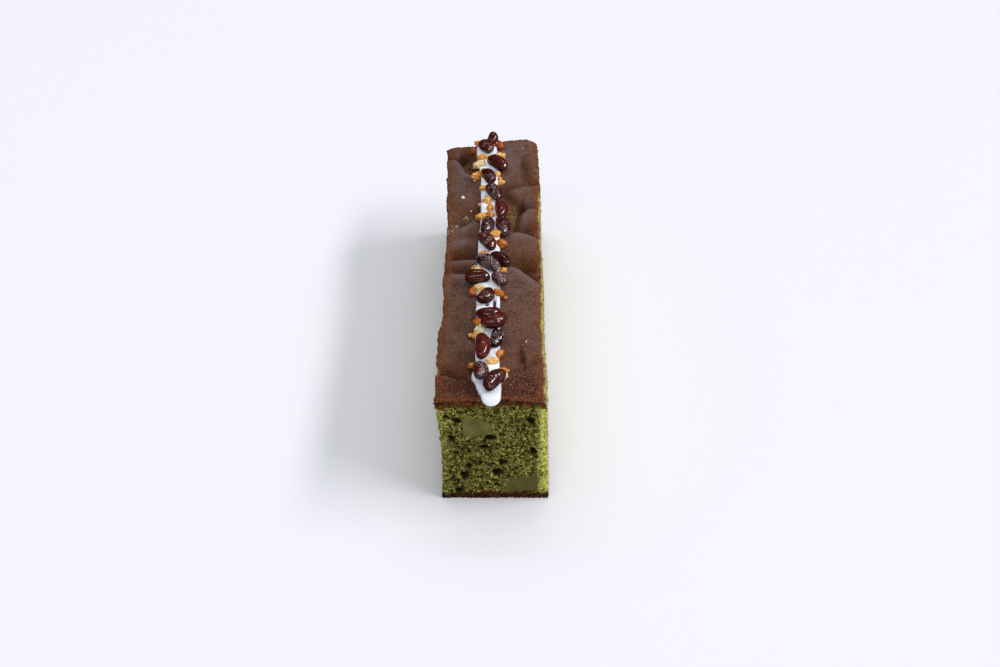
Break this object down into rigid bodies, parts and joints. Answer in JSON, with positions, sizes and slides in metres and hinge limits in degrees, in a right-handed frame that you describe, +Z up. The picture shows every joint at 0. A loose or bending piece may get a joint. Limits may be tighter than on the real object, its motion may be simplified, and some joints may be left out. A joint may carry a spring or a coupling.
{
  "type": "pound cake",
  "caption": "Slim green-tea pound cake with a cut crumb face, a folded browned top, a stripe of white icing, candied beans and chopped nuts.",
  "frame": {"origin": "middle of the base, on the surface the cake rests on", "axes": "+Z up, +Y along the loaf from its cut front face to its far end, +X to the right seen from the front"},
  "size_m": [0.0465, 0.1982, 0.0632],
  "materials": {
    "crumb": "matte porous green crumb with a browned crust",
    "chunk": "smooth muted olive, slightly moist",
    "icing": "smooth satin white",
    "nuts": "roasted golden, satin",
    "bean": "glossy dark red-brown, wrinkled and partly dusted"
  },
  "bodies": {
    "root": {"loaf": "crumb", "chunk_upper": "chunk", "chunk_lower": "chunk", "icing_with_nuts": "icing", "bean_01": "bean", "bean_02": "bean", "bean_03": "bean", "bean_04": "bean", "bean_05": "bean", "bean_06": "bean", "bean_07": "bean", "bean_08": "bean", "bean_09": "bean", "bean_10": "bean", "bean_11": "bean", "bean_12": "bean", "bean_13": "bean", "bean_14": "bean", "bean_15": "bean", "bean_16": "bean", "bean_17": "bean", "bean_18": "bean", "bean_19": "bean", "bean_20": "bean"}
  },
  "joints": []
}
